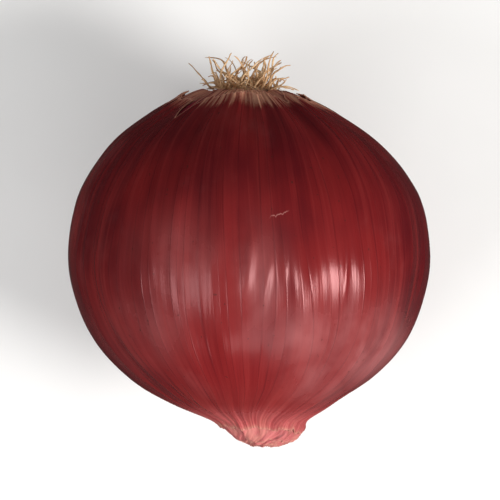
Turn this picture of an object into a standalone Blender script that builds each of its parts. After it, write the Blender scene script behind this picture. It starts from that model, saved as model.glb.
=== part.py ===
"""A small globe-shaped red onion, dried and topped, lying on its side.

Metres, +Z up. The onion's axis is level and runs along Y, with the cut neck
towards -Y and the roots towards +Y. It rests on a small flat spot at z = 0, and
the origin is under the middle of its bounding box.

Two pieces: the bulb, which grew as one body with its neck, and the tuft of dry
rootlets on its corky base plate.
"""

import math

import bmesh
import bpy
from mathutils import Matrix, Vector

# ---------------------------------------------------------------- dimensions
EQUATOR_R = 0.0276  # half the width across the widest part
HEIGHT_SHARE = 0.972  # the bulb is a little lower than it is wide
AXIS_Z = 0.0260  # height of the axis over the surface it lies on
NECK_TIP = 0.0297  # from the equator to the end of the neck
NECK_R = 0.0060  # half the width of the neck
ROOT_RIM = 0.0257  # from the equator to the rim round the base plate
PLATE_R = 0.0049  # the base plate's radius
PLATE_GAP = 0.0003  # clearance between the base plate and the bulb
NECK_SHIFT = 0.0026  # the neck leans this far towards +X
NECK_LIFT = 0.0007  # and this far up
ROOT_SHIFT = -0.0007  # the root end leans the other way
TUFT_REACH = 0.0056  # how far the rootlets stand out past the plate

SEGMENTS = 64  # round the bulb
STEPS = 3  # rings between two profile stations

SKIN_COLOUR = (0.195, 0.014, 0.022, 1.0)
ROOT_COLOUR = (0.46, 0.31, 0.15, 1.0)


def clear_scene():
    for ob in list(bpy.data.objects):
        bpy.data.objects.remove(ob, do_unlink=True)


def material(name, colour, roughness):
    mat = bpy.data.materials.new(name)
    mat.use_nodes = True
    bsdf = mat.node_tree.nodes["Principled BSDF"]
    bsdf.inputs["Base Color"].default_value = colour
    bsdf.inputs["Roughness"].default_value = roughness
    bsdf.inputs["Metallic"].default_value = 0.0
    mat.diffuse_color = colour
    return mat


def put(name, mesh, mat):
    ob = bpy.data.objects.new(name, mesh)
    bpy.context.scene.collection.objects.link(ob)
    mesh.materials.append(mat)
    return ob


# ------------------------------------------------------------------- profile
def meridian():
    """Stations (distance from the equator along the axis, radius) from the neck's tip to the middle of the root dish."""
    r, n, k = EQUATOR_R, NECK_TIP, NECK_R
    return [
        (-n, 0.0),
        (-n + 0.0003, k * 0.37),
        (-n + 0.0010, k * 0.65),
        (-n + 0.0020, k * 0.84),
        (-n + 0.0033, k * 1.02),
        (-n + 0.0048, k * 1.26),
        (-0.0225, r * 0.450),
        (-0.0185, r * 0.675),
        (-0.0124, r * 0.872),
        (-0.0045, r * 0.985),
        (0.0025, r),
        (0.0100, r * 0.938),
        (0.0170, r * 0.760),
        (0.0220, r * 0.522),
        (ROOT_RIM - 0.0009, r * 0.325),
        (ROOT_RIM, PLATE_R + 0.0014),
        (ROOT_RIM - 0.0003, PLATE_R + PLATE_GAP + 0.0002),
        (ROOT_RIM - 0.0012, PLATE_R + PLATE_GAP),
        (ROOT_RIM - 0.0013, 0.0),
    ]


def catmull(points, steps):
    """A smooth curve through the points, with this many steps in each span."""
    ends = [points[0]] + list(points) + [points[-1]]
    out = []
    for i in range(1, len(ends) - 2):
        p0, p1, p2, p3 = (Vector(ends[i + j]) for j in (-1, 0, 1, 2))
        for s in range(steps):
            t = s / steps
            out.append(
                0.5
                * (
                    2 * p1
                    + (p2 - p0) * t
                    + (2 * p0 - 5 * p1 + 4 * p2 - p3) * t * t
                    + (3 * p1 - p0 - 3 * p2 + p3) * t**3
                )
            )
    out.append(Vector(points[-1]))
    return out


def ease(x, low, high):
    t = min(1.0, max(0.0, (x - low) / (high - low)))
    return t * t * (3.0 - 2.0 * t)


def axis_at(y):
    """Where the onion's own axis runs at y: straight through the body, and leaning a little at both ends."""
    neck = ease(-y, 0.0205, 0.0290)
    root = ease(y, 0.008, 0.026)
    return Vector((NECK_SHIFT * neck + ROOT_SHIFT * root, y, AXIS_Z + NECK_LIFT * neck))


def swell(angle, y):
    """How far the bulb departs from round at this angle, as a share of the radius."""
    body = (
        0.008 * math.cos(2 * angle + 0.6)
        + 0.007 * math.cos(3 * angle - 1.1)
        + 0.003 * math.cos(5 * angle + 2.0)
    )
    ribs = 0.0035 * math.cos(9 * angle + 0.8) * ease(abs(y), 0.004, 0.020)
    folds = (
        0.060 * math.cos(6 * angle + 0.4) + 0.035 * math.cos(11 * angle + 1.7)
    ) * ease(-y, 0.0225, 0.0275)
    dish = ease(y, 0.0235, 0.0250)
    return (body + ribs + folds) * (1.0 - dish)


# ---------------------------------------------------------------------- bulb
def bulb_mesh():
    line = catmull(meridian(), STEPS)
    bm = bmesh.new()
    tip = bm.verts.new(axis_at(line[0][0]))
    rings = []
    for y, radius in line[1:-1]:
        middle = axis_at(y)
        ring = []
        for i in range(SEGMENTS):
            a = 2 * math.pi * i / SEGMENTS
            r = radius * (1.0 + swell(a, y))
            x, z = r * math.cos(a), r * math.sin(a) * HEIGHT_SHARE
            # the side it lies on is pressed flat where it would pass the surface
            ring.append(bm.verts.new((middle.x + x, y, max(0.0, middle.z + z))))
        rings.append(ring)
    dish = bm.verts.new(axis_at(line[-1][0]))
    for i in range(SEGMENTS):
        j = (i + 1) % SEGMENTS
        bm.faces.new((tip, rings[0][i], rings[0][j]))
        bm.faces.new((dish, rings[-1][j], rings[-1][i]))
    for low, high in zip(rings, rings[1:]):
        for i in range(SEGMENTS):
            j = (i + 1) % SEGMENTS
            bm.faces.new((low[i], high[i], high[j], low[j]))
    bmesh.ops.recalc_face_normals(bm, faces=bm.faces)
    mesh = bpy.data.meshes.new("bulb")
    bm.to_mesh(mesh)
    bm.free()
    mesh.shade_smooth()
    return mesh


# ----------------------------------------------------------------- root tuft
PLATE_RINGS = (0.0011, 0.0023, 0.0036, PLATE_R)
PLATE_SEGMENTS = 18
RINGS_USED = ((0, 3, 0.10), (1, 2, 0.42), (2, 1, 0.95))  # ring, every nth, lean


def tuft_mesh():
    """A low domed disc whose top faces are drawn out into curling, tapering rootlets."""
    back = ROOT_RIM - 0.0013 + PLATE_GAP
    front = ROOT_RIM + 0.0009
    centre = axis_at(ROOT_RIM)
    bm = bmesh.new()

    def place(radius, i, y):
        a = 2 * math.pi * i / PLATE_SEGMENTS
        return bm.verts.new(
            (
                centre.x + radius * math.cos(a),
                y,
                centre.z + radius * math.sin(a) * HEIGHT_SHARE,
            )
        )

    top = []
    for radius in PLATE_RINGS:
        crown = front - 0.0007 * (radius / PLATE_R) ** 2
        top.append([place(radius, i, crown) for i in range(PLATE_SEGMENTS)])
    under = [place(PLATE_R, i, back) for i in range(PLATE_SEGMENTS)]
    hub = bm.verts.new((centre.x, front, centre.z))
    heel = bm.verts.new((centre.x, back, centre.z))
    beds = []
    for i in range(PLATE_SEGMENTS):
        j = (i + 1) % PLATE_SEGMENTS
        bm.faces.new((hub, top[0][j], top[0][i]))
        bm.faces.new((heel, under[i], under[j]))
        bm.faces.new((top[-1][i], top[-1][j], under[j], under[i]))
        for ring, every, lean in RINGS_USED:
            low, high = top[ring], top[ring + 1]
            face = bm.faces.new((low[i], low[j], high[j], high[i]))
            if i % every == 0:
                beds.append((face, ring, i, lean))
    bmesh.ops.recalc_face_normals(bm, faces=bm.faces)
    bmesh.ops.inset_individual(
        bm, faces=[b[0] for b in beds], thickness=0.00022, use_even_offset=True
    )

    for face, ring, i, lean in beds:
        a = 2 * math.pi * (i + 0.5) / PLATE_SEGMENTS
        out = Vector((math.cos(a), 0.0, math.sin(a)))
        side = Vector((-math.sin(a), 0.0, math.cos(a)))
        phase = 2.4 * i + 1.3 * ring
        length = TUFT_REACH * (0.72 + 0.28 * math.cos(1.7 * i + 2.1 * ring))
        here = face
        knots = 5
        for k in range(knots):
            t = (k + 1) / knots
            made = bmesh.ops.extrude_discrete_faces(bm, faces=[here])
            here = made["faces"][0]
            spread = lean * (0.55 + 0.85 * t)
            way = Vector((0.0, 1.0, 0.0)) + out * spread
            way += side * (0.30 * math.sin(phase + 2.6 * t))
            bmesh.ops.translate(
                bm, verts=list(here.verts), vec=way.normalized() * (length / knots)
            )
            middle = here.calc_center_median()
            shrink = 0.80 if k else 0.72
            bmesh.ops.scale(
                bm,
                verts=list(here.verts),
                vec=(shrink, shrink, shrink),
                space=Matrix.Translation(-middle),
            )
    mesh = bpy.data.meshes.new("root_tuft")
    bm.to_mesh(mesh)
    bm.free()
    mesh.shade_smooth()
    return mesh


def centre_on_origin(objects):
    """Slides the whole onion so that the origin lies under the middle of its box."""
    corners = [v.co for ob in objects for v in ob.data.vertices]
    middle_x = (min(c.x for c in corners) + max(c.x for c in corners)) / 2
    middle_y = (min(c.y for c in corners) + max(c.y for c in corners)) / 2
    for ob in objects:
        ob.location = (-middle_x, -middle_y, 0.0)


def main():
    clear_scene()
    skin = material("onion_skin", SKIN_COLOUR, 0.38)
    fibre = material("dry_root", ROOT_COLOUR, 0.80)
    bulb = put("bulb", bulb_mesh(), skin)
    tuft = put("root_tuft", tuft_mesh(), fibre)
    centre_on_origin([bulb, tuft])


main()
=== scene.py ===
"""The finish of a small red onion: veined papery skin, dry cut neck, corky base plate and rootlets.

Metres, +Z up. The onion lies on its side with the neck towards -Y and the roots towards +Y.
"""

import math

import bmesh
import bpy
import numpy as np
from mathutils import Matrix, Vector


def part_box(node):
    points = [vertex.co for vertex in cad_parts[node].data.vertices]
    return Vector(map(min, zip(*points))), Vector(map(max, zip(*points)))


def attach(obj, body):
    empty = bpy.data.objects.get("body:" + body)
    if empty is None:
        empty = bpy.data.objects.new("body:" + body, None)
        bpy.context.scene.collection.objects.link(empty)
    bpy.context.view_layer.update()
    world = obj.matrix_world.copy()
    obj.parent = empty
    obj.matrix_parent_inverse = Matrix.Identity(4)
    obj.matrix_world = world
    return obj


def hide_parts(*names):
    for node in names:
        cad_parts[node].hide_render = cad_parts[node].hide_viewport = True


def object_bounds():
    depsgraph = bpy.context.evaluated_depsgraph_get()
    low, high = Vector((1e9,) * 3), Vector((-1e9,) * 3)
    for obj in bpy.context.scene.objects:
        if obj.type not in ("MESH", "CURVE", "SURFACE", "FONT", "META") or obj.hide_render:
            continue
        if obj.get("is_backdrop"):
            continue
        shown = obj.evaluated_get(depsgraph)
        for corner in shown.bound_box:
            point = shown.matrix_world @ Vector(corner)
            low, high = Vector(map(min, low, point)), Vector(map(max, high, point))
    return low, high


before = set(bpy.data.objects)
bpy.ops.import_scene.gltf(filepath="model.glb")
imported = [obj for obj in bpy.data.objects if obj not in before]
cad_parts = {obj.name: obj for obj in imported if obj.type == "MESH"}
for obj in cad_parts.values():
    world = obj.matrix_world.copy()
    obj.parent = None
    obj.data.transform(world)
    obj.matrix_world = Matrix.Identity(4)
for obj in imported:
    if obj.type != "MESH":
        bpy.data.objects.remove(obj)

cad_low, cad_high = (list(map(float, c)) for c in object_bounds())

# ------------------------------------------------------------------ the shape
# The same driving dimensions as the solid model, in metres.
EQUATOR_R = 0.0276
HEIGHT_SHARE = 0.972
AXIS_Z = 0.0260
NECK_TIP = 0.0297
NECK_R = 0.0060
ROOT_RIM = 0.0257
PLATE_R = 0.0049
PLATE_GAP = 0.0003
NECK_SHIFT = 0.0026
NECK_LIFT = 0.0007
ROOT_SHIFT = -0.0007

MM = 0.001
TAU = 2.0 * math.pi
FINE = 60  # samples in each span of the meridian


def ease(x, low, high):
    t = np.clip((np.asarray(x, float) - low) / (high - low), 0.0, 1.0)
    return t * t * (3.0 - 2.0 * t)


def axis_at(y):
    """x and z of the onion's own axis at y."""
    neck = ease(-np.asarray(y), 0.0205, 0.0290)
    root = ease(y, 0.008, 0.026)
    return NECK_SHIFT * neck + ROOT_SHIFT * root, AXIS_Z + NECK_LIFT * neck


def swell(angle, y):
    """Departure from round, as a share of the radius: the same lobes, ribs and neck folds as the solid."""
    body = (
        0.008 * np.cos(2 * angle + 0.6)
        + 0.007 * np.cos(3 * angle - 1.1)
        + 0.003 * np.cos(5 * angle + 2.0)
    )
    ribs = 0.0035 * np.cos(9 * angle + 0.8) * ease(np.abs(y), 0.004, 0.020)
    folds = (
        0.060 * np.cos(6 * angle + 0.4) + 0.035 * np.cos(11 * angle + 1.7)
    ) * ease(-np.asarray(y), 0.0225, 0.0275)
    dish = ease(y, 0.0235, 0.0250)
    return (body + ribs + folds) * (1.0 - dish)


def stations():
    """The meridian from the neck's tip to the middle of the root dish: (distance from the equator, radius)."""
    r, n, k = EQUATOR_R, NECK_TIP, NECK_R
    return [
        (-n + 0.0003, 0.0),
        (-n + 0.0005, k * 0.34),
        (-n + 0.0011, k * 0.62),
        (-n + 0.0020, k * 0.82),
        (-n + 0.0033, k * 1.00),
        (-n + 0.0048, k * 1.24),
        (-0.0225, r * 0.450),
        (-0.0185, r * 0.675),
        (-0.0124, r * 0.872),
        (-0.0045, r * 0.985),
        (0.0025, r),
        (0.0100, r * 0.938),
        (0.0170, r * 0.760),
        (0.0220, r * 0.522),
        (ROOT_RIM - 0.0009, r * 0.325),
        (ROOT_RIM, PLATE_R + 0.0014),
        (ROOT_RIM - 0.0003, PLATE_R + PLATE_GAP + 0.0002),
        (ROOT_RIM - 0.0012, PLATE_R + PLATE_GAP),
        (ROOT_RIM - 0.0013, 0.0),
    ]


def catmull(points, steps):
    p = np.array([points[0]] + list(points) + [points[-1]], float)
    t = (np.arange(steps) / steps)[:, None]
    out = []
    for i in range(1, len(p) - 2):
        p0, p1, p2, p3 = p[i - 1], p[i], p[i + 1], p[i + 2]
        out.append(
            0.5
            * (
                2 * p1
                + (p2 - p0) * t
                + (2 * p0 - 5 * p1 + 4 * p2 - p3) * t**2
                + (3 * p1 - p0 - 3 * p2 + p3) * t**3
            )
        )
    return np.vstack(out + [p[-1:]])


LINE = catmull(stations(), FINE)
ARC = np.concatenate([[0.0], np.cumsum(np.linalg.norm(np.diff(LINE, axis=0), axis=1))])
RIM_INDEX = (len(stations()) - 4) * FINE
AT_ROOT = ARC[RIM_INDEX]  # the rim round the base plate
AT_END = ARC[-1]


def at_of(y):
    """How far along the meridian the outside reaches this y."""
    return float(np.interp(y, LINE[:RIM_INDEX, 0], ARC[:RIM_INDEX]))


# Where the solid stands: its node's box gives the slide that centred it.
bulb_low, bulb_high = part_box("bulb")
SHIFT_Y = bulb_low.y + NECK_TIP


def lobed_width():
    """Lowest and highest x of the solid's widest rings, before it was centred."""
    a = np.arange(64) * TAU / 64
    xs = []
    for y, radius in catmull(stations(), 3):
        cx, _ = axis_at(y)
        xs.append(cx + radius * (1.0 + swell(a, y)) * np.cos(a))
    xs = np.concatenate(xs)
    return xs.min(), xs.max()


x_low, x_high = lobed_width()
SHIFT_X = (bulb_low.x - x_low + bulb_high.x - x_high) / 2.0


def smooth_surface(a, at):
    """A point of the smooth bulb at this angle and this far along the meridian."""
    y = np.interp(at, ARC, LINE[:, 0])
    radius = np.interp(at, ARC, LINE[:, 1])
    cx, cz = axis_at(y)
    r = radius * (1.0 + swell(a, y))
    return np.stack([cx + r * np.cos(a), y, cz + r * np.sin(a) * HEIGHT_SHARE], axis=-1)


def smooth_normal(a, at):
    du = smooth_surface(a + 0.004, at) - smooth_surface(a - 0.004, at)
    dv = smooth_surface(a, np.minimum(at + 0.00015, AT_END)) - smooth_surface(
        a, np.maximum(at - 0.00015, 0.0)
    )
    n = np.cross(dv, du)
    return n / np.maximum(np.linalg.norm(n, axis=-1, keepdims=True), 1e-12)


# --------------------------------------------------------------- small noises
def modes(rng, psi, s, lows, highs, count, drift):
    """Smooth noise round the bulb that changes slowly along it: a sum of whole-number waves, of unit spread."""
    out = np.zeros(np.broadcast(psi, s).shape)
    for _ in range(count):
        n = rng.randint(lows, highs + 1)
        out += np.cos(
            n * psi + rng.uniform(0, TAU) + rng.uniform(-drift, drift) * s
        ) * rng.uniform(0.5, 1.0)
    return out / math.sqrt(count * 0.29)


def ridged(field):
    """Rounded valleys with sharp crests, as folded paper has."""
    return 1.0 - np.abs(np.tanh(1.4 * field))


def twist(a, y):
    """The veins wander a little along the bulb and turn as they run into the neck."""
    s = (np.asarray(y) + NECK_TIP) / MM
    neck = ease(-np.asarray(y), 0.0180, 0.0275)
    return (
        a
        + 0.035 * np.sin(a + 0.09 * s)
        + 0.018 * np.sin(3.0 * a - 0.16 * s + 1.0)
        - 0.34 * neck**2
    )


def neck_folds(psi, s):
    """The pleats that all the dry layers of the neck share, 0 to 1."""
    rng = np.random.RandomState(31)
    out = 0.55 * ridged(modes(rng, psi, s, 8, 15, 6, 0.10))
    return out + 0.45 * ridged(modes(rng, psi, s, 18, 32, 8, 0.16))


# ------------------------------------------------------------------- the bulb
AROUND = 640
VEINS = 112
SKIN = 0.14  # one dry layer's thickness, in millimetres
FOOT_AT = 0.0125  # how far down inside the neck its layers start
CRACK_PSI = 1.36  # round the bulb, where the small crack in the skin is
CRACK_S = 49.8  # and how far along it, in millimetres


def vein_count_at(psi, s, rng):
    """A running count of veins round the bulb, unevenly spaced, that gains exactly VEINS in one turn."""
    wobble = np.zeros_like(psi)
    for _ in range(14):
        n = rng.randint(2, 40)
        wobble += rng.uniform(-1, 1) * np.sin(n * psi + rng.uniform(0, TAU)) * 0.8 / n**0.5
    return VEINS * psi / TAU + wobble + 0.28 * modes(rng, psi, s, 3, 14, 9, 0.13)


def pleats(count, s, rng):
    """Flat strips from vein to vein: each vein stands at its own height, which changes slowly along it."""
    c = count - 0.5
    k = np.floor(c).astype(int)
    f = c - k
    w = rng.uniform(0.04, 0.15, (VEINS, 2))
    q = rng.uniform(0, TAU, (VEINS, 2))

    def height(i):
        i = i % VEINS
        return 0.6 * np.cos(w[i, 0] * s + q[i, 0]) + 0.4 * np.cos(2.1 * w[i, 1] * s + q[i, 1])

    return height(k) * (1.0 - f) + height(k + 1) * f


def flats(count, s, radius_mm, broad, rng):
    """Facets a few veins wide that are pulled nearly straight across, with a broad one at that count: depth in millimetres."""
    borders = [0]
    while borders[-1] < VEINS:
        borders.append(borders[-1] + rng.randint(2, 7))
    c = np.mod(count - 0.5 + 0.7 * np.sin(0.11 * s), VEINS)
    low, high = round(broad) - 3, round(broad) + 3
    borders = [b for b in borders if b < VEINS - 1 and not low - 2 < b < high + 2]
    borders = np.array(sorted(borders + [low, high, VEINS]))
    k = np.clip(np.searchsorted(borders, c, side="right") - 1, 0, len(borders) - 2)
    wide = (borders[k + 1] - borders[k]).astype(float)
    f = (c - borders[k]) / wide
    many = len(borders) - 1
    w = rng.uniform(0.05, 0.16, many)
    q = rng.uniform(0, TAU, many)
    flat = np.clip(0.42 + 0.48 * np.cos(w[k] * s + q[k]), 0.05, 0.85)
    flat = np.where(borders[k] == low, 0.95, flat)
    across = (wide * TAU / VEINS) ** 2 * radius_mm / 2.0
    deepest = across / 4.0
    return -flat * across * f * (1.0 - f) * np.minimum(1.0, 0.27 / deepest)


def softened(field, weights):
    """The field with its creases round the bulb rounded off a little."""
    half = len(weights) // 2
    total = sum(w * np.roll(field, i - half, axis=1) for i, w in enumerate(weights))
    return total / sum(weights)


def bulb_rows(a):
    """The rows of points, from inside the neck over the skin to the root dish.

    Each row is (how far along the meridian, depth under the surface in millimetres, outer layer or
    not, next layer showing, closeness to the torn edge, closeness to the neck's rim, share of the
    radius kept).
    """
    rng = np.random.RandomState(7)
    one = np.ones_like(a)
    # the outermost layer ends unevenly on the neck, lower on its left
    rim = (
        6.5
        + 0.55 * (1.0 - np.cos(a + 0.3))
        + 0.22 * modes(rng, a, 0 * a, 2, 6, 6, 0.0)
        + 0.13 * modes(rng, a, 0 * a, 9, 24, 8, 0.0)
        + 0.06 * modes(rng, a, 0 * a, 40, 90, 10, 0.0)
    ) * MM
    # and it has torn away round the roots, with tears that run up along the veins
    torn = (
        3.1
        + 1.2 * modes(rng, a, 0 * a, 1, 4, 5, 0.0)
        + 0.50 * modes(rng, a, 0 * a, 9, 22, 8, 0.0)
        + 0.16 * modes(rng, a, 0 * a, 40, 90, 10, 0.0)
    )
    torn = np.maximum(torn, 1.0 + 0.2 * np.cos(17 * a))
    ragged = modes(rng, a, 0 * a, 26, 60, 9, 0.0) + 1.3 * modes(rng, a, 0 * a, 12, 24, 7, 0.0)
    for angle, wide, tall, power in (
        (3.86, 0.30, 27.0, 0.75),
        (5.78, 0.20, 14.0, 0.80),
        (2.28, 0.13, 5.5, 0.90),
        (0.95, 0.09, 4.0, 0.90),
    ):
        off = np.abs(np.angle(np.exp(1j * (a - angle)))) / wide
        torn = torn + tall * np.clip(1.0 - off, 0.0, 1.0) ** power * (1.0 + 0.045 * ragged)
    edge_at = AT_ROOT - torn * MM

    rows = []

    def row(at, sink, outer=0.0, bare=0.0, edge=0.0, mouth=0.0, keep=1.0):
        rows.append(tuple(np.broadcast_to(v, a.shape).astype(float) for v in (at, sink, outer, bare, edge, mouth, keep)))

    row(FOOT_AT, 0.9, mouth=1.0, keep=0.45)
    for t in np.linspace(0.0, 1.0, 7):
        row(FOOT_AT + (rim - FOOT_AT) * t, SKIN + 0.5 * (1 - t) ** 2, mouth=1.0)
    row(rim - 0.00004, 0.5 * SKIN, mouth=1.0)
    neck_to = at_of(-0.0150)
    for t in np.linspace(0.0, 1.0, 44) ** 1.3:
        at = rim + (neck_to - rim) * t
        row(at, 0.0, outer=1.0, mouth=np.exp(-((at - rim) / (0.34 * MM)) ** 1.5))
    near = (0.9, 0.55, 0.28, 0.10, 0.0)
    for t in np.linspace(0.0, 1.0, 62)[1:]:
        at = neck_to + (edge_at - near[0] * MM - neck_to) * t
        row(at, 0.0, outer=1.0)
    for back in near[1:]:
        row(edge_at - back * MM, 0.0, outer=1.0, edge=math.exp(-((back / 0.22) ** 2)))
    row(edge_at + 0.03 * MM, 0.5 * SKIN, outer=1.0, edge=1.0)
    row(edge_at - 0.02 * MM, SKIN, outer=1.0, edge=1.0)
    row(edge_at - 0.5 * MM, SKIN, outer=1.0, edge=0.8)
    row(edge_at - 1.3 * MM, SKIN, outer=1.0, edge=0.5)
    row(edge_at - 1.35 * MM, SKIN + 0.05, bare=1.0)
    row(edge_at - 0.6 * MM, SKIN + 0.05, bare=1.0)
    row(edge_at - 0.05 * MM, SKIN + 0.05, bare=1.0)
    for t in np.linspace(0.0, 1.0, 21)[1:]:
        row(edge_at + (AT_ROOT - edge_at) * t, SKIN + 0.05, bare=1.0)
    for t in np.linspace(0.0, 1.0, 9)[1:-1]:
        row(AT_ROOT + (AT_END - AT_ROOT) * t**0.8, 0.05, bare=1.0)
    return rows, rim, edge_at


def bulb_arrays():
    cols = np.arange(AROUND) * TAU / AROUND
    rows, rim, edge_at = bulb_rows(cols)
    at, sink, outer, bare, edge, mouth, keep = (
        np.array([r[i] for r in rows]) for i in range(7)
    )
    a = np.broadcast_to(cols[None, :], at.shape)
    p = smooth_surface(a, at)
    normal = smooth_normal(a, at)
    y = p[..., 1]
    s = at / MM
    radius = np.interp(at, ARC, LINE[:, 1])
    small = np.clip(radius / EQUATOR_R, 0.15, 1.0)

    neck = ease(-y, 0.0180, 0.0275)
    root = ease(y, 0.0190, 0.0252)
    dish = ease(at, AT_ROOT - 0.0003, AT_ROOT + 0.0008)
    inner = np.where(mouth > 0.999, 1.0, 0.0) * (outer < 0.5)
    open_body = 1.0 - dish
    rng = np.random.RandomState(11)
    psi = twist(a, y)

    # long shallow facets: the fleshy scales under the skin
    facets = 0.095 * modes(rng, psi, s, 5, 11, 9, 0.035)
    facets += 0.060 * modes(rng, psi, s, 12, 26, 12, 0.06)
    # broad unevenness that also changes along the bulb
    broad = 0.15 * modes(rng, a, s, 1, 4, 8, 0.11)
    count = vein_count_at(psi, s, rng)
    strips = pleats(count, s, rng)
    turn = count - np.floor(count) - 0.5
    strength = rng.uniform(0.25, 1.0, VEINS)[np.floor(count).astype(int) % VEINS]
    vein = np.exp(-((turn / 0.17) ** 2)) * strength
    # slight crinkling of the dry layer, longer along the veins than across
    crinkled = modes(rng, psi, s, 20, 60, 16, 0.75)
    broken = modes(rng, psi, s, 12, 34, 14, 0.42)
    # the broad facet lies on the upper right, a little towards the neck
    line = int(np.argmin(np.abs(y[:, 0] + 0.0043) + 1.0 * (outer[:, 0] < 0.5)))
    column = int(round(1.12 / TAU * AROUND))
    lit = float(np.mod(count[line, column] - 0.5 + 0.7 * math.sin(0.11 * s[line, column]), VEINS))
    flat = softened(flats(count, s, radius / MM, lit, np.random.RandomState(41)), (1, 2, 3, 3, 3, 2, 1))
    strips = softened(strips, (1, 2, 1))

    gather = neck_folds(psi, s)
    g_body = ease(-y, 0.0170, 0.0250) * (1.0 - 0.45 * ease(-y, 0.0262, 0.0285))
    root_gather = ridged(modes(rng, psi, s, 16, 30, 8, 0.12))

    push = (facets * (1.0 - 0.6 * neck) + broad * (1.0 - neck)) * open_body
    # the skin is drawn smoother over that facet
    beside = np.angle(np.exp(1j * (a - 1.10))) * radius / MM
    calm = 1.0 - 0.60 * np.exp(-((beside / 3.4) ** 2) - ((y + 0.0046) / 0.0042) ** 2) * outer
    push += (0.060 * strips + 0.035 * vein) * small * calm * open_body
    push += (0.016 * crinkled + 0.034 * broken) * small * calm * open_body
    push += (flat + 0.06) * open_body * (1.0 - neck)
    push += 0.36 * (gather - 0.45) * g_body
    push += 0.18 * (root_gather - 0.4) * ease(y, 0.0195, 0.0245) * open_body

    # short folds where the dry layer has wrinkled along the veins
    for angle, where, length, slant, tall, half in (
        (1.575, -1.0, 8.5, -0.12, 0.36, 0.74),
        (1.480, -4.0, 7.0, -0.16, 0.24, 0.55),
        (1.385, 1.0, 7.5, 0.02, 0.22, 0.50),
        (1.020, -1.0, 11.0, 0.01, 0.10, 0.45),
        (1.790, -5.5, 10.0, -0.06, 0.12, 0.50),
        (2.120, 3.5, 13.0, 0.03, 0.12, 0.50),
        (2.560, -3.0, 9.0, -0.03, 0.14, 0.50),
        (3.300, 5.0, 12.0, 0.04, 0.15, 0.55),
        (4.050, -6.0, 10.0, -0.02, 0.14, 0.50),
        (4.620, 2.0, 9.0, 0.02, 0.10, 0.50),
        (5.250, -2.0, 14.0, 0.03, 0.14, 0.50),
        (5.870, 6.0, 9.0, -0.04, 0.13, 0.50),
        (0.330, -4.0, 12.0, 0.02, 0.15, 0.55),
        (0.640, 5.5, 8.0, -0.03, 0.12, 0.45),
    ):
        up = y / MM - where
        lateral = np.angle(np.exp(1j * (a - angle))) * radius / MM - slant * up
        push_fold = tall * np.exp(-((lateral / half) ** 2) - (2.0 * up / length) ** 4)
        push += push_fold * open_body * outer

    # shallow dents, as in any bulb that dried lying down
    for angle, where, depth, spread in (
        (2.75, 0.006, 0.45, 8.5),
        (0.35, -0.004, 0.34, 7.5),
        (4.10, 0.011, 0.45, 9.0),
        (1.15, 0.013, 0.20, 6.0),
        (5.55, -0.010, 0.35, 7.0),
    ):
        far_a = np.angle(np.exp(1j * (a - angle))) * radius / MM
        far_y = (y - where) / MM
        push -= depth * np.exp(-(far_a**2 + far_y**2) / (2 * (spread / 2.0) ** 2))

    # the torn edge stands off the layer under it, more in some places than in others
    curl = 0.10 + 0.16 * np.clip(modes(rng, cols, 0 * cols, 3, 9, 6, 0.0) + 0.4, 0, 2.2)
    curl += 0.05 * modes(rng, cols, 0 * cols, 18, 40, 8, 0.0)
    wide = (1.1 + 0.35 * modes(rng, cols, 0 * cols, 3, 12, 6, 0.0)).clip(0.5, 2.2)
    back = (edge_at[None, :] - at) / MM
    lift = np.clip(curl, 0.02, 0.55)[None, :] * np.exp(-((np.clip(back, 0, 9) / wide[None, :]) ** 2))
    push += lift * outer
    push -= sink * (1.0 - 0.7 * dish)
    push *= MM
    p = p + normal * push[..., None]

    # the floor of the hollow inside the neck
    middle = p[0].mean(axis=0)
    p[0] = middle + (p[0] - middle) * keep[0][:, None]

    # it lies on the surface with this side pressed flat
    p[..., 2] = np.maximum(p[..., 2], 0.0)
    p[..., 0] += SHIFT_X
    p[..., 1] += SHIFT_Y

    # a dusty bloom on the shoulder to the right of the neck, a fainter one above the neck, and more to the left and
    # in the middle: partly real dust, partly painted sheen, pale patches kept to the upper side where the lamps'
    # highlights and soft reflections fall
    sheen_and_dust_patches = np.zeros_like(p[..., 0])
    for x0, y0, wide_x, wide_y, much in (
        (0.0185, -0.0150, 0.0075, 0.0062, 1.0),
        (0.0085, -0.0128, 0.0050, 0.0045, 0.75),
        (0.0105, -0.0195, 0.0045, 0.0040, 0.70),
        (-0.0105, -0.0030, 0.0060, 0.0065, 0.60),
        (-0.0150, -0.0105, 0.0055, 0.0060, 0.50),
        (0.0010, -0.0050, 0.0036, 0.0072, 0.62),
    ):
        far = ((p[..., 0] - x0) / wide_x) ** 2 + ((p[..., 1] - y0) / wide_y) ** 2
        sheen_and_dust_patches = np.maximum(sheen_and_dust_patches, much * np.exp(-far) * ease(p[..., 2], 0.018, 0.034))

    fields = {
        "neckness": neck,
        "rootness": root,
        "bare": bare * open_body,
        "edge": edge,
        "mouth": mouth,
        "inner": inner,
        # painted sheen as well as dust, for the skin's colour
        "sheen_and_dust_patches": sheen_and_dust_patches,
        "crease": np.clip(gather, 0, 1) * g_body,
    }
    flow = np.stack([np.cos(psi), np.sin(psi), s / 27.6], axis=-1)
    cx0, cz0 = axis_at(LINE[-1, 0])
    ends = [
        (middle[0] + SHIFT_X, middle[1] + SHIFT_Y, middle[2]),
        (float(cx0) + SHIFT_X, LINE[-1, 0] + SHIFT_Y, float(cz0)),
    ]
    return p, fields, flow, count, ends


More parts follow.
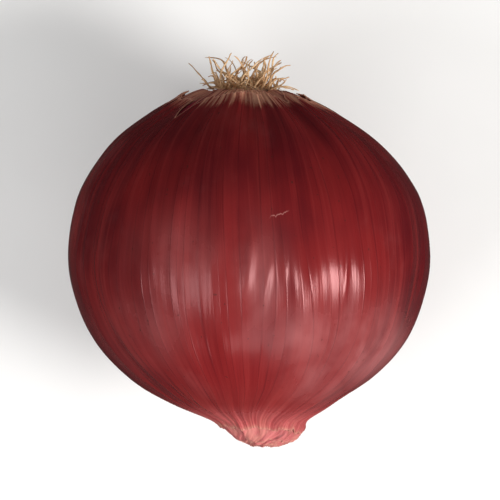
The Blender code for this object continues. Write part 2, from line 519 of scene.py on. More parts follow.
def grid_mesh(name, p, poles=None):
    """A closed mesh from rings of points: a fan at either end, or the last ring joined to the first."""
    rows, cols = p.shape[:2]
    verts = p.reshape(-1, 3)
    last_row = rows if poles is None else rows - 1
    i = np.arange(last_row)[:, None] * cols
    n = (np.arange(1, last_row + 1) % rows)[:, None] * cols
    j = np.arange(cols)[None, :]
    k = (j + 1) % cols
    faces = np.stack([i + j, i + k, n + k, n + j], -1).reshape(-1, 4).tolist()
    if poles is not None:
        verts = np.concatenate([verts, np.array(poles, float)])
        jj = np.arange(cols)
        kk = (jj + 1) % cols
        a, b = rows * cols, rows * cols + 1
        faces += np.stack([np.full(cols, a), kk, jj], -1).tolist()
        faces += np.stack(
            [np.full(cols, b), (rows - 1) * cols + jj, (rows - 1) * cols + kk], -1
        ).tolist()
    mesh = bpy.data.meshes.new(name)
    mesh.from_pydata(verts.tolist(), [], faces)
    mesh.validate()
    mesh.update()
    return mesh


def outward(mesh):
    """Turns the faces so that the closed mesh's volume is positive."""
    bm = bmesh.new()
    bm.from_mesh(mesh)
    if bm.calc_volume(signed=True) < 0:
        bmesh.ops.reverse_faces(bm, faces=bm.faces[:])
        bm.to_mesh(mesh)
    bm.free()
    mesh.shade_smooth()
    mesh.update()


def point_attribute(mesh, name, values, kind="FLOAT"):
    at = mesh.attributes.new(name, kind, "POINT")
    key = "vector" if kind == "FLOAT_VECTOR" else "value"
    at.data.foreach_set(key, np.asarray(values, np.float32).ravel())


def link(name, mesh):
    ob = bpy.data.objects.new(name, mesh)
    bpy.context.scene.collection.objects.link(ob)
    return ob


def build_bulb():
    p, fields, flow, count, ends = bulb_arrays()
    rows = p.shape[0]
    mesh = grid_mesh("bulb_skin", p, ends)
    outward(mesh)
    for name, value in fields.items():
        last = [value[0].mean(), value[-1].mean()]
        point_attribute(mesh, name, np.concatenate([value.ravel(), last]))
    last = np.array([[0.0, 0.0, flow[0, 0, 2]], [0.0, 0.0, flow[-1, 0, 2]]])
    point_attribute(
        mesh, "flow", np.concatenate([flow.reshape(-1, 3), last]), "FLOAT_VECTOR"
    )
    # the vein count jumps back by VEINS at the seam, so it is kept on the faces' corners
    corner = mesh.attributes.new("vein", "FLOAT", "CORNER")
    total = len(mesh.loops)
    vert = np.empty(total, np.int32)
    mesh.loops.foreach_get("vertex_index", vert)
    starts = np.empty(len(mesh.polygons), np.int32)
    sizes = np.empty(len(mesh.polygons), np.int32)
    mesh.polygons.foreach_get("loop_start", starts)
    mesh.polygons.foreach_get("loop_total", sizes)
    flat = np.concatenate([count.ravel(), [0.0, 0.0]])
    value = flat[vert]
    column = np.concatenate([np.tile(np.arange(AROUND), rows), [-1, -1]])[vert]
    for k in range(len(starts)):
        b, e = starts[k], starts[k] + sizes[k]
        c = column[b:e]
        if (c == AROUND - 1).any() and (c == 0).any():
            value[b:e] += np.where(c == 0, VEINS, 0.0)
    corner.data.foreach_set("value", value.astype(np.float32))
    return link("bulb_skin", mesh)


# ------------------------------------------------------- papery neck layers
def neck_layer(name, seed, depth, rim, wild, wall):
    """A thin dry leaf base that closes over the neck like a bud: a folded shell with a real wall and a ragged rim."""
    rng = np.random.RandomState(seed)
    cols, up = 280, 34
    a = (np.arange(cols) * TAU / cols)[None, :]
    edge = rim + wild * (
        0.55 * modes(rng, a, 0 * a, 1, 4, 5, 0.0)
        + 0.30 * modes(rng, a, 0 * a, 7, 18, 8, 0.0)
        + 0.14 * modes(rng, a, 0 * a, 30, 70, 12, 0.0)
    )
    edge = np.maximum(edge, 0.22)
    t = (np.linspace(0.0, 1.0, up) ** 0.8)[:, None]
    at = (FOOT_AT + (edge * MM - FOOT_AT) * t) + 0 * a
    aa = a + 0 * at
    base = smooth_surface(aa, at)
    normal = smooth_normal(aa, at)
    s = at / MM
    y = base[..., 1]
    psi = twist(aa, y) - 1.3 * ease(-s, -7.0, 0.0)
    # the layers share their folds, so that each lies inside the one before
    shared = np.random.RandomState(5)
    push = 0.30 * (neck_folds(psi, s) - 0.45) * np.clip(s / 3.0, 0.25, 1.0)
    push += 0.045 * modes(shared, psi, s, 7, 16, 8, 0.5) * np.clip(s / 3.0, 0.2, 1.0)
    push += 0.020 * modes(shared, psi, s, 22, 48, 12, 1.4) * np.clip(s / 3.0, 0.1, 1.0)
    push += 0.10 * t**6 * np.clip(modes(rng, aa, 0 * s, 4, 12, 6, 0.0) + 0.3, 0.0, 1.5)
    # they lie closer together towards the tip, and closer in some places than in others
    hug = 0.86 + 0.14 * np.clip(1.5 * modes(np.random.RandomState(99), aa, 0 * s, 2, 9, 8, 0.0), -1.0, 1.0)
    hug = hug * np.clip(s / 4.5, 0.42, 1.0)
    push -= depth * hug
    thick = wall * hug
    outer = base + normal * (push * MM)[..., None]
    inner = base + normal * ((push - thick) * MM)[..., None]
    lip = base[-1:] + normal[-1:] * ((push[-1:] - 0.5 * thick[-1:]) * MM)[..., None]
    lip[..., 1] -= 0.25 * wall * MM
    p = np.concatenate([outer, lip, inner[::-1]], axis=0)
    p[..., 0] += SHIFT_X
    p[..., 1] += SHIFT_Y
    p[..., 1] = np.maximum(p[..., 1], cad_low[1] + 0.00002)
    mesh = grid_mesh(name, p)
    outward(mesh)
    share = np.concatenate([t, [[1.0]], t[::-1]]) + 0 * a
    inside = np.concatenate([0 * t, [[0.5]], 0 * t + 1.0]) + 0 * a
    ring = np.concatenate([psi, psi[-1:], psi[::-1]])
    away = np.concatenate([s, s[-1:], s[::-1]])
    from_rim = np.concatenate([s - s[-1:], 0 * s[-1:], (s - s[-1:])[::-1]])
    point_attribute(mesh, "tip", share.ravel())
    point_attribute(mesh, "inside", inside.ravel())
    point_attribute(mesh, "cut", np.exp(-np.abs(from_rim) / 0.22).ravel())
    flow = np.stack([np.cos(ring), np.sin(ring), away / 6.0], -1)
    point_attribute(mesh, "flow", flow.reshape(-1, 3), "FLOAT_VECTOR")
    return link(name, mesh)


# ------------------------------------------------------------------- the roots
def base_plate():
    """The corky plate that the rootlets grow from: a low dome, knobbly with the scars of lost roots."""
    rng = np.random.RandomState(5)
    cols, rows = 120, 40
    phi = np.arange(cols) * TAU / cols
    front = ROOT_RIM + 0.0009
    back = ROOT_RIM - 0.0013 + PLATE_GAP
    t = np.linspace(0.03, 1.0, rows)
    scars = []
    for k in range(64):
        rr = PLATE_R * 0.95 * math.sqrt((k + 0.5) / 64)
        aa = k * 2.39996 + rng.uniform(-0.2, 0.2)
        scars.append((rr * math.cos(aa), rr * math.sin(aa), rng.uniform(0.4, 1.0)))
    rings, grain = [], []
    for tt in t:
        r = PLATE_R * 0.985 * tt * (1.0 + 0.015 * np.cos(7 * phi) * tt)
        x, z = r * np.cos(phi), r * np.sin(phi)
        h = -0.0008 * tt**2.2 + 0.00008 * np.cos(5 * phi + 9 * tt)
        g = np.zeros_like(phi)
        for sx, sz, w in scars:
            d = np.sqrt((x - sx) ** 2 + (z - sz) ** 2) / 0.00036
            g += w * np.exp(-(d**2))
        h = h + 0.00022 * np.clip(g, 0, 1.2)
        rings.append((x, front - 0.00022 + h, z))
        grain.append(np.clip(g, 0, 1))
    x, z = rings[-1][0], rings[-1][2]
    rings.append((x, np.full_like(x, (front + back) / 2 - 0.0002), z))
    rings.append((x * 0.97, np.full_like(x, back), z * 0.97))
    grain += [np.zeros_like(phi)] * 2
    p = np.array([np.stack([r[0], r[1], r[2]], -1) for r in rings])
    cx, cz = (float(v) for v in axis_at(ROOT_RIM))
    p = p + np.array([cx + SHIFT_X, SHIFT_Y, cz])
    p[..., 2] = cz + (p[..., 2] - cz) * HEIGHT_SHARE
    poles = [
        (cx + SHIFT_X, front - 0.0002 + SHIFT_Y, cz),
        (cx + SHIFT_X, back + SHIFT_Y, cz),
    ]
    return p, np.array(grain), poles


def rootlet(rng, start, way, length, thick, curl, droop):
    """One dry rootlet: a tapering crinkled tube. Returns its rings of points and where along it each lies."""
    n, sides = 28, 8
    way = way / np.linalg.norm(way)
    side = np.cross(way, [0.31, 0.12, 0.94])
    side /= np.linalg.norm(side)
    up = np.cross(side, way)
    here = np.array(start, float)
    rings, share = [], []
    k1, k2 = rng.uniform(-1, 1, 2) * curl
    w1, w2 = rng.uniform(5.0, 13.0, 2)
    q1, q2 = rng.uniform(0, TAU, 2)
    kinks = rng.uniform(0.15, 0.9, 2)
    bend = rng.uniform(-1.0, 1.0, (2, 2)) * 0.9
    d = way.copy()
    for i in range(n):
        t = i / (n - 1)
        turn = k1 + 1.5 * curl * math.sin(w1 * t + q1)
        tilt = k2 + 1.5 * curl * math.sin(w2 * t + q2)
        for kink, b in zip(kinks, bend):
            if abs(t - kink) < 0.035:
                turn += b[0] * 7.0
                tilt += b[1] * 7.0
        d = d + (side * turn + up * tilt) / n + np.array([0, 0, -droop]) / n
        d /= np.linalg.norm(d)
        s = np.cross(d, up)
        s /= np.linalg.norm(s)
        u = np.cross(s, d)
        r = thick * (1.0 - 0.62 * t**0.9) * (
            1.0 + 0.15 * math.sin(23 * t + q1) + 0.10 * math.sin(41 * t + q2)
        )
        if i == 0:
            r *= 1.35
        if i == n - 1:
            r *= 0.45
        ang = np.arange(sides) * TAU / sides + 0.3 * t
        rings.append(here + r * (np.cos(ang)[:, None] * s + 0.72 * np.sin(ang)[:, None] * u))
        share.append(t)
        here = here + d * (length / (n - 1))
    return rings, share


def build_tuft():
    rng = np.random.RandomState(23)
    p, grain, poles = base_plate()
    rows, cols = p.shape[:2]
    verts = [p.reshape(-1, 3), np.array(poles, float)]
    faces = []
    for i in range(rows - 1):
        for j in range(cols):
            k = (j + 1) % cols
            faces.append((i * cols + j, i * cols + k, (i + 1) * cols + k, (i + 1) * cols + j))
    a, b = rows * cols, rows * cols + 1
    for j in range(cols):
        k = (j + 1) % cols
        faces.append((a, k, j))
        faces.append((b, (rows - 1) * cols + j, (rows - 1) * cols + k))
    along = [np.zeros(rows * cols + 2)]
    tone = [np.concatenate([0.25 + 0.3 * grain.ravel(), [0.3, 0.3]])]
    kind = [np.zeros(rows * cols + 2)]
    base = rows * cols + 2

    cx, cz = (float(v) for v in axis_at(ROOT_RIM))
    top = float(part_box("root_tuft")[1].y)
    count = 118
    for k in range(count):
        f = (k + 0.5) / count
        rr = PLATE_R * 0.93 * math.sqrt(f)
        aa = k * 2.39996 + rng.uniform(-0.25, 0.25)
        out = np.array([math.cos(aa), 0.0, math.sin(aa)])
        height = ROOT_RIM + 0.0009 - 0.0008 * (rr / PLATE_R) ** 2.2 - 0.00045
        start = np.array(
            [cx + SHIFT_X, height + SHIFT_Y, cz]
        ) + rr * out * np.array([1.0, 1.0, HEIGHT_SHARE])
        lean = 0.05 + 1.15 * (rr / PLATE_R) ** 1.6 + rng.uniform(-0.25, 0.45)
        swirl = rng.uniform(-0.6, 0.6)
        tang = np.array([-math.sin(aa), 0.0, math.cos(aa)])
        way = np.array([0.0, 1.0, 0.0]) + out * max(lean, 0.02) + tang * swirl
        short = rng.uniform() < 0.34
        length = (rng.uniform(1.0, 2.6) if short else rng.uniform(3.8, 8.2)) * MM
        thick = rng.uniform(0.16, 0.27) * MM * (1.2 if short else 1.0)
        rings, share = rootlet(
            rng, start, way, length, thick, rng.uniform(0.9, 2.6), rng.uniform(-0.1, 0.45)
        )
        ring = np.array(rings)
        # nothing stands out past the solid's tuft, and the tips turn aside before they would
        limit = top - 0.0003
        late = np.maximum(ring[..., 1] - (limit - 0.0012), 0.0)
        ring[..., 1] -= late - 0.0012 * (1 - np.exp(-late / 0.0012))
        # and none dips back into the bulb's shoulder
        floor_y = ROOT_RIM + SHIFT_Y - 0.0002
        r_here = np.hypot(ring[..., 0] - cx - SHIFT_X, ring[..., 2] - cz)
        clear = floor_y - np.maximum(r_here - 0.0070, 0.0) * 0.75 + 0.0004
        ring[..., 1] = np.where(r_here > PLATE_R, np.maximum(ring[..., 1], clear), ring[..., 1])
        n, sides = ring.shape[:2]
        verts.append(ring.reshape(-1, 3))
        for i in range(n - 1):
            for j in range(sides):
                m = (j + 1) % sides
                faces.append(
                    (
                        base + i * sides + j,
                        base + i * sides + m,
                        base + (i + 1) * sides + m,
                        base + (i + 1) * sides + j,
                    )
                )
        faces.append(tuple(base + j for j in range(sides))[::-1])
        faces.append(tuple(base + (n - 1) * sides + j for j in range(sides)))
        along.append(np.repeat(share, sides))
        tone.append(np.full(n * sides, rng.uniform(0.0, 1.0)))
        kind.append(np.ones(n * sides))
        base += n * sides
    mesh = bpy.data.meshes.new("root_fibres")
    mesh.from_pydata(np.concatenate(verts).tolist(), [], faces)
    mesh.validate()
    bm = bmesh.new()
    bm.from_mesh(mesh)
    bmesh.ops.recalc_face_normals(bm, faces=bm.faces[:])
    bm.to_mesh(mesh)
    bm.free()
    mesh.shade_smooth()
    point_attribute(mesh, "along", np.concatenate(along))
    point_attribute(mesh, "tone", np.concatenate(tone))
    point_attribute(mesh, "fibre", np.concatenate(kind))
    return link("root_fibres", mesh)


# ------------------------------------------------------------------ materials
class Graph:
    """Short names for the node types the finishes are made of."""

    def __init__(self, name):
        self.mat = bpy.data.materials.new(name)
        self.mat.use_nodes = True
        self.tree = self.mat.node_tree
        self.tree.nodes.clear()
        self.out = self.tree.nodes.new("ShaderNodeOutputMaterial")
        self.bsdf = self.tree.nodes.new("ShaderNodeBsdfPrincipled")
        self.tree.links.new(self.bsdf.outputs[0], self.out.inputs["Surface"])

    def put(self, socket, value):
        if isinstance(value, bpy.types.NodeSocket):
            self.tree.links.new(value, socket)
        else:
            socket.default_value = value

    def set(self, name, value):
        self.put(self.bsdf.inputs[name], value)

    def attr(self, name, vector=False):
        n = self.tree.nodes.new("ShaderNodeAttribute")
        n.attribute_name = name
        return n.outputs["Vector" if vector else "Fac"]

    def math(self, op, a, b=0.0, c=0.0, clamp=False):
        n = self.tree.nodes.new("ShaderNodeMath")
        n.operation = op
        n.use_clamp = clamp
        for i, v in enumerate((a, b, c)):
            self.put(n.inputs[i], v)
        return n.outputs[0]

    def stretch(self, vec, x, y, z, shift=(0.0, 0.0, 0.0)):
        n = self.tree.nodes.new("ShaderNodeVectorMath")
        n.operation = "MULTIPLY_ADD"
        self.put(n.inputs[0], vec)
        n.inputs[1].default_value = (x, y, z)
        n.inputs[2].default_value = shift
        return n.outputs[0]

    def part(self, vec, axis):
        n = self.tree.nodes.new("ShaderNodeSeparateXYZ")
        self.put(n.inputs[0], vec)
        return n.outputs[axis]

    def join(self, x, y, z=0.0):
        n = self.tree.nodes.new("ShaderNodeCombineXYZ")
        for i, v in enumerate((x, y, z)):
            self.put(n.inputs[i], v)
        return n.outputs[0]

    def noise(self, vec, scale=1.0, detail=2.0, rough=0.5, warp=0.0):
        n = self.tree.nodes.new("ShaderNodeTexNoise")
        self.put(n.inputs["Vector"], vec)
        n.inputs["Scale"].default_value = scale
        n.inputs["Detail"].default_value = detail
        n.inputs["Roughness"].default_value = rough
        n.inputs["Distortion"].default_value = warp
        return n.outputs[0]

    def white(self, value):
        n = self.tree.nodes.new("ShaderNodeTexWhiteNoise")
        n.noise_dimensions = "1D"
        self.put(n.inputs["W"], value)
        return n.outputs["Value"]

    def step(self, value, low, high, a=0.0, b=1.0):
        n = self.tree.nodes.new("ShaderNodeMapRange")
        n.interpolation_type = "SMOOTHSTEP"
        self.put(n.inputs["Value"], value)
        self.put(n.inputs["From Min"], low)
        self.put(n.inputs["From Max"], high)
        self.put(n.inputs["To Min"], a)
        self.put(n.inputs["To Max"], b)
        return n.outputs[0]

    def mix(self, share, a, b, kind="MIX"):
        n = self.tree.nodes.new("ShaderNodeMix")
        n.data_type = "RGBA"
        n.blend_type = kind
        n.clamp_factor = True
        self.put(n.inputs[0], share)
        for i, v in ((6, a), (7, b)):
            if not isinstance(v, bpy.types.NodeSocket):
                v = (*v, 1.0)
            self.put(n.inputs[i], v)
        return n.outputs[2]

    def bump(self, height, distance, strength=1.0, under=None):
        n = self.tree.nodes.new("ShaderNodeBump")
        n.inputs["Strength"].default_value = strength
        n.inputs["Distance"].default_value = distance
        self.put(n.inputs["Height"], height)
        if under is not None:
            self.put(n.inputs["Normal"], under)
        return n.outputs[0]


def skin_finish():
    g = Graph("red_onion_skin")
    flow = g.attr("flow", True)
    neck, root = g.attr("neckness"), g.attr("rootness")
    bare, edge = g.attr("bare"), g.attr("edge")
    mouth, crease, inner = g.attr("mouth"), g.attr("crease"), g.attr("inner")
    sheen_and_dust_patches, count = g.attr("sheen_and_dust_patches"), g.attr("vein")
    s = g.part(flow, 2)

    patches = g.noise(g.stretch(flow, 1.5, 1.5, 1.1), detail=3.0, rough=0.55)
    cloud = g.noise(g.stretch(flow, 2.6, 2.6, 2.2, (7.1, 3.3, 1.9)), detail=4.0, rough=0.6)
    bands = g.noise(g.stretch(flow, 6.0, 6.0, 0.55, (2.0, 5.0, 0.0)), detail=3.0, rough=0.5)
    streaks = g.noise(g.stretch(flow, 30.0, 30.0, 0.8, (1.0, 9.0, 4.0)), detail=3.0, rough=0.55)
    fibres = g.noise(g.stretch(flow, 95.0, 95.0, 3.0), detail=2.0, rough=0.6)
    grain = g.noise(g.stretch(flow, 60.0, 60.0, 60.0), detail=3.0, rough=0.65)

    # the strip between two veins has a tone of its own, which changes slowly along it
    strip = g.math("FLOORED_MODULO", g.math("FLOOR", g.math("ADD", count, 0.5)), float(VEINS))
    strip_tone = g.noise(g.join(g.math("MULTIPLY", strip, 5.37), g.math("MULTIPLY", s, 1.3)), detail=1.0)

    # veins: a thin line at the middle of each whole step of the count, each with its own strength
    def lines(copies, narrow, wide, low, high):
        c = g.math("MULTIPLY", count, float(copies))
        whole = g.math("FLOOR", c)
        cell = g.math("FLOORED_MODULO", whole, float(VEINS * copies))
        off = g.math("ABSOLUTE", g.math("SUBTRACT", g.math("SUBTRACT", c, whole), 0.5))
        width = g.math("MULTIPLY_ADD", g.white(g.math("ADD", cell, 0.37)), wide - narrow, narrow)
        line = g.step(off, 0.0, width, 1.0, 0.0)
        power = g.step(g.white(g.math("ADD", cell, 91.7 + copies)), low, high, 0.0, 1.0)
        here = g.noise(g.join(g.math("MULTIPLY", cell, 3.71), g.math("MULTIPLY", s, 2.3), 4.0), detail=1.0)
        return g.math("MULTIPLY", g.math("MULTIPLY", line, power), g.step(here, 0.30, 0.62, 0.25, 1.0))

    vein = lines(1, 0.07, 0.16, 0.0, 0.75)
    veinlet = lines(3, 0.18, 0.40, 0.35, 1.0)

    # deep wine red, darker and redder in long bands
    base = g.mix(g.step(patches, 0.36, 0.64), (0.078, 0.0046, 0.0070), (0.150, 0.0092, 0.0102))
    base = g.mix(g.step(bands, 0.40, 0.68, 0.0, 0.45), base, (0.200, 0.0135, 0.0136))
    base = g.mix(g.step(strip_tone, 0.52, 0.72, 0.0, 0.20), base, (0.240, 0.0200, 0.0195))
    base = g.mix(g.step(strip_tone, 0.48, 0.30, 0.0, 0.18), base, (0.065, 0.0038, 0.0060))
    base = g.mix(g.step(streaks, 0.50, 0.72, 0.0, 0.20), base, (0.270, 0.0300, 0.0280))
    base = g.mix(g.step(streaks, 0.46, 0.28, 0.0, 0.16), base, (0.060, 0.0036, 0.0064))
    base = g.mix(g.math("MULTIPLY", veinlet, 0.14), base, (0.045, 0.0030, 0.0052))
    base = g.mix(g.math("MULTIPLY", vein, 0.34), base, (0.040, 0.0026, 0.0050))
    # thinly dusty where the outermost layer has dried loose, and paler still in the bloom patches, which are painted
    # sheen standing in for highlights and soft reflections on the upper side
    dust_and_sheen = g.step(cloud, 0.54, 0.76, 0.0, 0.08)
    dust_and_sheen = g.math("MAXIMUM", dust_and_sheen, g.math("MULTIPLY", sheen_and_dust_patches, g.step(cloud, 0.30, 0.62, 0.22, 0.62)))
    base = g.mix(dust_and_sheen, base, (0.360, 0.1250, 0.1250))

    # a short pale hairline crack across the veins, on the upper side
    ahead = g.math("ADD", g.math("MULTIPLY", g.part(flow, 0), math.cos(CRACK_PSI)), g.math("MULTIPLY", g.part(flow, 1), math.sin(CRACK_PSI)))
    across = g.math("ADD", g.math("MULTIPLY", g.part(flow, 0), -27.6 * math.sin(CRACK_PSI)), g.math("MULTIPLY", g.part(flow, 1), 27.6 * math.cos(CRACK_PSI)))
    wander = g.math("MULTIPLY", g.math("SUBTRACT", g.noise(g.join(across, 3.0), scale=1.1, detail=3.0, rough=0.6), 0.5), 1.6)
    off = g.math("SUBTRACT", g.math("SUBTRACT", g.math("MULTIPLY", s, 27.6), CRACK_S), g.math("ADD", g.math("MULTIPLY", across, -0.30), wander))
    crack = g.step(g.math("ABSOLUTE", off), 0.03, 0.14, 1.0, 0.0)
    crack = g.math("MULTIPLY", crack, g.step(g.math("ABSOLUTE", across), 0.9, 1.9, 1.0, 0.0))
    crack = g.math("MULTIPLY", crack, g.step(ahead, 0.90, 0.95))
    base = g.mix(g.math("MULTIPLY", crack, 0.48), base, (0.460, 0.1900, 0.1700))

    # pinker on the neck, straw and pink round the roots
    pale = g.mix(g.step(streaks, 0.35, 0.65), (0.270, 0.0380, 0.0410), (0.500, 0.1080, 0.1080))
    base = g.mix(g.step(neck, 0.35, 1.0, 0.0, 0.85), base, pale)
    base = g.mix(g.math("MULTIPLY", g.step(neck, 0.60, 1.0), g.step(bands, 0.46, 0.64, 0.0, 0.35)), base, (0.400, 0.1500, 0.1150))
    uneven = g.math("ADD", g.math("MULTIPLY", g.math("SUBTRACT", strip_tone, 0.5), 0.7), g.math("MULTIPLY", g.math("SUBTRACT", streaks, 0.5), 0.6))
    uneven = g.math("ADD", uneven, g.math("MULTIPLY", g.math("SUBTRACT", cloud, 0.5), 0.5))
    to_root = g.step(g.math("ADD", root, uneven), 0.68, 1.18, 0.0, 0.80)
    straw = g.mix(g.step(streaks, 0.35, 0.65), (0.330, 0.0950, 0.0620), (0.620, 0.3300, 0.2050))
    base = g.mix(to_root, base, straw)

    # where the outer layer is gone, the next one is cleaner and a little more purple
    under = g.mix(g.step(strip_tone, 0.36, 0.66), (0.110, 0.0056, 0.0150), (0.200, 0.0130, 0.0250))
    under = g.mix(g.math("MULTIPLY", vein, 0.45), under, (0.050, 0.0032, 0.0100))
    under = g.mix(to_root, under, straw)
    base = g.mix(bare, base, under)
    base = g.mix(g.math("MULTIPLY", edge, 0.80), base, (0.560, 0.2700, 0.1900))
    base = g.mix(g.math("MULTIPLY", crease, 0.16), base, (0.400, 0.0900, 0.0760))
    brown = g.mix(g.step(streaks, 0.35, 0.65), (0.320, 0.1400, 0.1000), (0.560, 0.3200, 0.2300))
    base = g.mix(g.math("MULTIPLY", mouth, 0.60), base, brown)
    base = g.mix(g.math("MULTIPLY", inner, 0.5), base, (0.260, 0.0800, 0.0650))
    # a few darker specks
    speck = g.step(g.noise(g.stretch(flow, 34.0, 34.0, 28.0, (4.0, 4.0, 4.0)), detail=1.0), 0.745, 0.780, 0.0, 0.6)
    base = g.mix(speck, base, (0.045, 0.0120, 0.0100))
    g.set("Base Color", base)

    rough = g.math("MULTIPLY_ADD", strip_tone, 0.08, 0.14)
    rough = g.math("ADD", rough, g.math("MULTIPLY", streaks, 0.06))
    rough = g.math("ADD", rough, g.math("MULTIPLY", dust_and_sheen, 0.45))
    rough = g.math("ADD", rough, g.math("MULTIPLY", g.math("MAXIMUM", g.step(neck, 0.4, 1.0), to_root), 0.22))
    g.set("Roughness", rough)
    g.bsdf.inputs["IOR"].default_value = 1.40
    g.bsdf.inputs["Specular IOR Level"].default_value = 0.42
    g.bsdf.inputs["Specular Tint"].default_value = (1.0, 0.55, 0.56, 1.0)

    first = g.bump(streaks, 0.00003)
    second = g.bump(vein, 0.00003, under=first)
    third = g.bump(fibres, 0.000013, under=second)
    last = g.bump(grain, 0.000004, under=third)
    g.set("Normal", last)
    return g.mat


def neck_finish():
    g = Graph("dry_neck_layer")
    flow = g.attr("flow", True)
    cut, inside = g.attr("cut"), g.attr("inside")
    streaks = g.noise(g.stretch(flow, 9.0, 9.0, 1.2), detail=4.0, rough=0.6)
    fibres = g.noise(g.stretch(flow, 34.0, 34.0, 3.0), detail=3.0, rough=0.6)
    cloud = g.noise(g.stretch(flow, 2.2, 2.2, 2.0), detail=3.0)
    base = g.mix(g.step(streaks, 0.34, 0.66), (0.290, 0.0480, 0.0500), (0.530, 0.1350, 0.1320))
    base = g.mix(g.step(cloud, 0.44, 0.68, 0.0, 0.45), base, (0.480, 0.2100, 0.1550))
    base = g.mix(g.step(fibres, 0.54, 0.76, 0.0, 0.25), base, (0.620, 0.2700, 0.2300))
    brown = g.mix(g.step(streaks, 0.34, 0.66), (0.320, 0.1500, 0.1050), (0.600, 0.3600, 0.2500))
    base = g.mix(g.math("MULTIPLY", cut, 0.60), base, brown)
    base = g.mix(g.math("MULTIPLY", inside, 0.30), base, (0.330, 0.1150, 0.0950))
    g.set("Base Color", base)
    g.set("Roughness", g.math("MULTIPLY_ADD", streaks, 0.22, 0.40))
    g.bsdf.inputs["IOR"].default_value = 1.45
    first = g.bump(streaks, 0.00007)
    g.set("Normal", g.bump(fibres, 0.00004, under=first))
    return g.mat


def root_finish():
    g = Graph("dry_root_fibre")
    along, tone, fibre = g.attr("along"), g.attr("tone"), g.attr("fibre")
    where = g.tree.nodes.new("ShaderNodeTexCoord").outputs["Object"]
    mottle = g.noise(where, scale=900.0, detail=3.0, rough=0.6)
    grain = g.noise(where, scale=3200.0, detail=3.0, rough=0.6)
    root = g.mix(tone, (0.430, 0.2350, 0.1100), (0.780, 0.5300, 0.3000))
    root = g.mix(g.step(mottle, 0.44, 0.70, 0.0, 0.42), root, (0.300, 0.1400, 0.0620))
    root = g.mix(g.step(along, 0.60, 1.0, 0.0, 0.30), root, (0.330, 0.1750, 0.0850))
    plate = g.mix(g.step(mottle, 0.36, 0.64), (0.170, 0.0820, 0.0440), (0.430, 0.2550, 0.1450))
    plate = g.mix(g.math("MULTIPLY", tone, 0.8), plate, (0.500, 0.3200, 0.1950))
    base = g.mix(fibre, plate, root)
    g.set("Base Color", base)
    g.set("Roughness", g.math("MULTIPLY_ADD", mottle, 0.20, 0.58))
    g.bsdf.inputs["IOR"].default_value = 1.45
    first = g.bump(mottle, 0.00010)
    g.set("Normal", g.bump(grain, 0.00004, under=first))
    return g.mat


def floor_finish():
    g = Graph("plain_pale_floor")
    where = g.tree.nodes.new("ShaderNodeTexCoord").outputs["Object"]
    soft = g.noise(where, scale=60.0, detail=2.0)
    g.set("Base Color", g.mix(g.step(soft, 0.3, 0.7, 0.0, 1.0), (0.710, 0.707, 0.702), (0.725, 0.722, 0.717)))
    g.bsdf.inputs["Roughness"].default_value = 0.75
    g.bsdf.inputs["Emission Color"].default_value = (1.0, 0.995, 0.985, 1.0)
    # it runs into the pale backdrop far away, where the lamps don't reach
    x, y = g.part(where, 0), g.part(where, 1)
    away = g.math("SQRT", g.math("ADD", g.math("MULTIPLY", x, x), g.math("MULTIPLY", y, y)))
    g.set("Emission Strength", g.step(away, 0.30, 1.20, 0.11, 0.55))
    return g.mat


# --------------------------------------------------------------- put together
skin_mat = skin_finish()
neck_mat = neck_finish()
root_mat = root_finish()

bulb = build_bulb()
bulb.data.materials.append(skin_mat)
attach(bulb, "root")
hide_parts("bulb")

for name, seed, depth, rim, wild, wall in (
    ("neck_layer_1", 3, 0.34, 4.1, 0.60, 0.13),
    ("neck_layer_2", 8, 0.58, 2.4, 0.45, 0.12),
    ("neck_layer_3", 14, 0.81, 1.2, 0.30, 0.12),
    ("neck_layer_4", 21, 1.04, 0.36, 0.10, 0.12),
):
    layer = neck_layer(name, seed, depth, rim, wild, wall)
    layer.data.materials.append(neck_mat)
    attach(layer, "root")

tuft = build_tuft()
tuft.data.materials.append(root_mat)
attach(tuft, "root")
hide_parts("root_tuft")

# ------------------------------------------------------- floor, light, camera
floor_mesh = bpy.data.meshes.new("floor")
e = 1.5
floor_mesh.from_pydata(
    [(-e, -e, -0.00005), (e, -e, -0.00005), (e, e, -0.00005), (-e, e, -0.00005)], [], [(0, 1, 2, 3)]
)
floor = link("floor", floor_mesh)
floor.data.materials.append(floor_finish())
floor.visible_glossy = False  # the pale floor would veil the dark skin at its edges
floor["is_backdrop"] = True

scene = bpy.context.scene
world = bpy.data.worlds.new("soft_room")
world.use_nodes = True
wt = world.node_tree
sky_at = wt.nodes.new("ShaderNodeSeparateXYZ")
wt.links.new(wt.nodes.new("ShaderNodeTexCoord").outputs["Generated"], sky_at.inputs[0])
height = wt.nodes.new("ShaderNodeMapRange")
height.interpolation_type = "SMOOTHSTEP"
height.inputs["From Min"].default_value = -0.15
height.inputs["From Max"].default_value = 0.75
height.inputs["To Min"].default_value = 0.05
height.inputs["To Max"].default_value = 0.42
wt.links.new(sky_at.outputs[2], height.inputs["Value"])
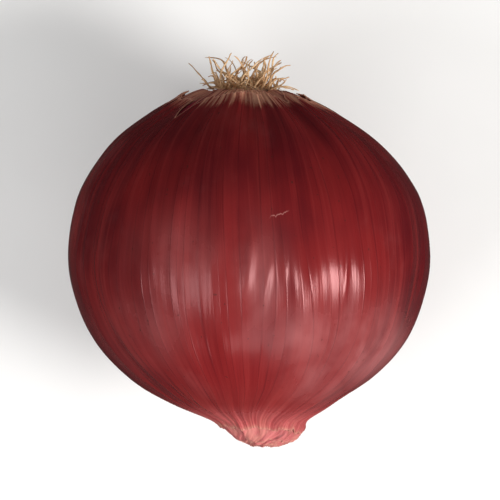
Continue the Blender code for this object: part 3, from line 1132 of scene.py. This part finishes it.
# the room that the skin mirrors is dimmer behind it than in front
behind = wt.nodes.new("ShaderNodeMapRange")
behind.interpolation_type = "SMOOTHSTEP"
behind.inputs["From Min"].default_value = -0.25
behind.inputs["From Max"].default_value = 0.65
behind.inputs["To Min"].default_value = 1.0
behind.inputs["To Max"].default_value = 0.40
wt.links.new(sky_at.outputs[1], behind.inputs["Value"])
ray = wt.nodes.new("ShaderNodeLightPath")
mirrored = wt.nodes.new("ShaderNodeMix")
mirrored.inputs[2].default_value = 1.0
wt.links.new(ray.outputs["Is Glossy Ray"], mirrored.inputs[0])
wt.links.new(behind.outputs[0], mirrored.inputs[3])
dimmed = wt.nodes.new("ShaderNodeMath")
dimmed.operation = "MULTIPLY"
wt.links.new(height.outputs[0], dimmed.inputs[0])
wt.links.new(mirrored.outputs[0], dimmed.inputs[1])
# the backdrop itself is pale, while the room that the skin mirrors is dim low down
seen = wt.nodes.new("ShaderNodeMix")
seen.inputs[3].default_value = 0.84
wt.links.new(ray.outputs["Is Camera Ray"], seen.inputs[0])
wt.links.new(dimmed.outputs[0], seen.inputs[2])
wt.links.new(seen.outputs[0], wt.nodes["Background"].inputs[1])
wt.nodes["Background"].inputs[0].default_value = (1.0, 0.995, 0.985, 1.0)
scene.world = world
scene.view_settings.view_transform = "Standard"
scene.view_settings.look = "None"
scene.view_settings.exposure = 0.0
scene.view_settings.gamma = 1.0


def area(name, where, size, power, colour, aim=(0.0, 0.0, 0.026)):
    lamp = bpy.data.lights.new(name, "AREA")
    lamp.shape = "ELLIPSE"
    lamp.size, lamp.size_y = size
    lamp.energy = power
    lamp.color = colour
    ob = link(name, lamp)
    ob.location = where
    ob.rotation_euler = (Vector(aim) - Vector(where)).to_track_quat("-Z", "Y").to_euler()
    return ob


area("key_softbox", (0.62, -0.27, 0.56), (0.33, 0.26), 7.8, (1.0, 0.985, 0.965))
area("left_softbox", (-0.54, -0.38, 0.66), (0.46, 0.36), 3.6, (0.98, 0.99, 1.0))
area("front_fill", (0.22, -0.90, 0.52), (0.80, 0.42), 2.8, (1.0, 0.99, 0.98))

camera = bpy.data.cameras.new("camera")
camera.lens = 250.0
camera.sensor_width = 36.0
camera.clip_start = 0.01
camera.clip_end = 10.0
cam = link("camera", camera)
cam.location = (0.0, 0.0, 0.561)
cam.rotation_euler = (0.0, 0.0, 0.0)
scene.camera = cam
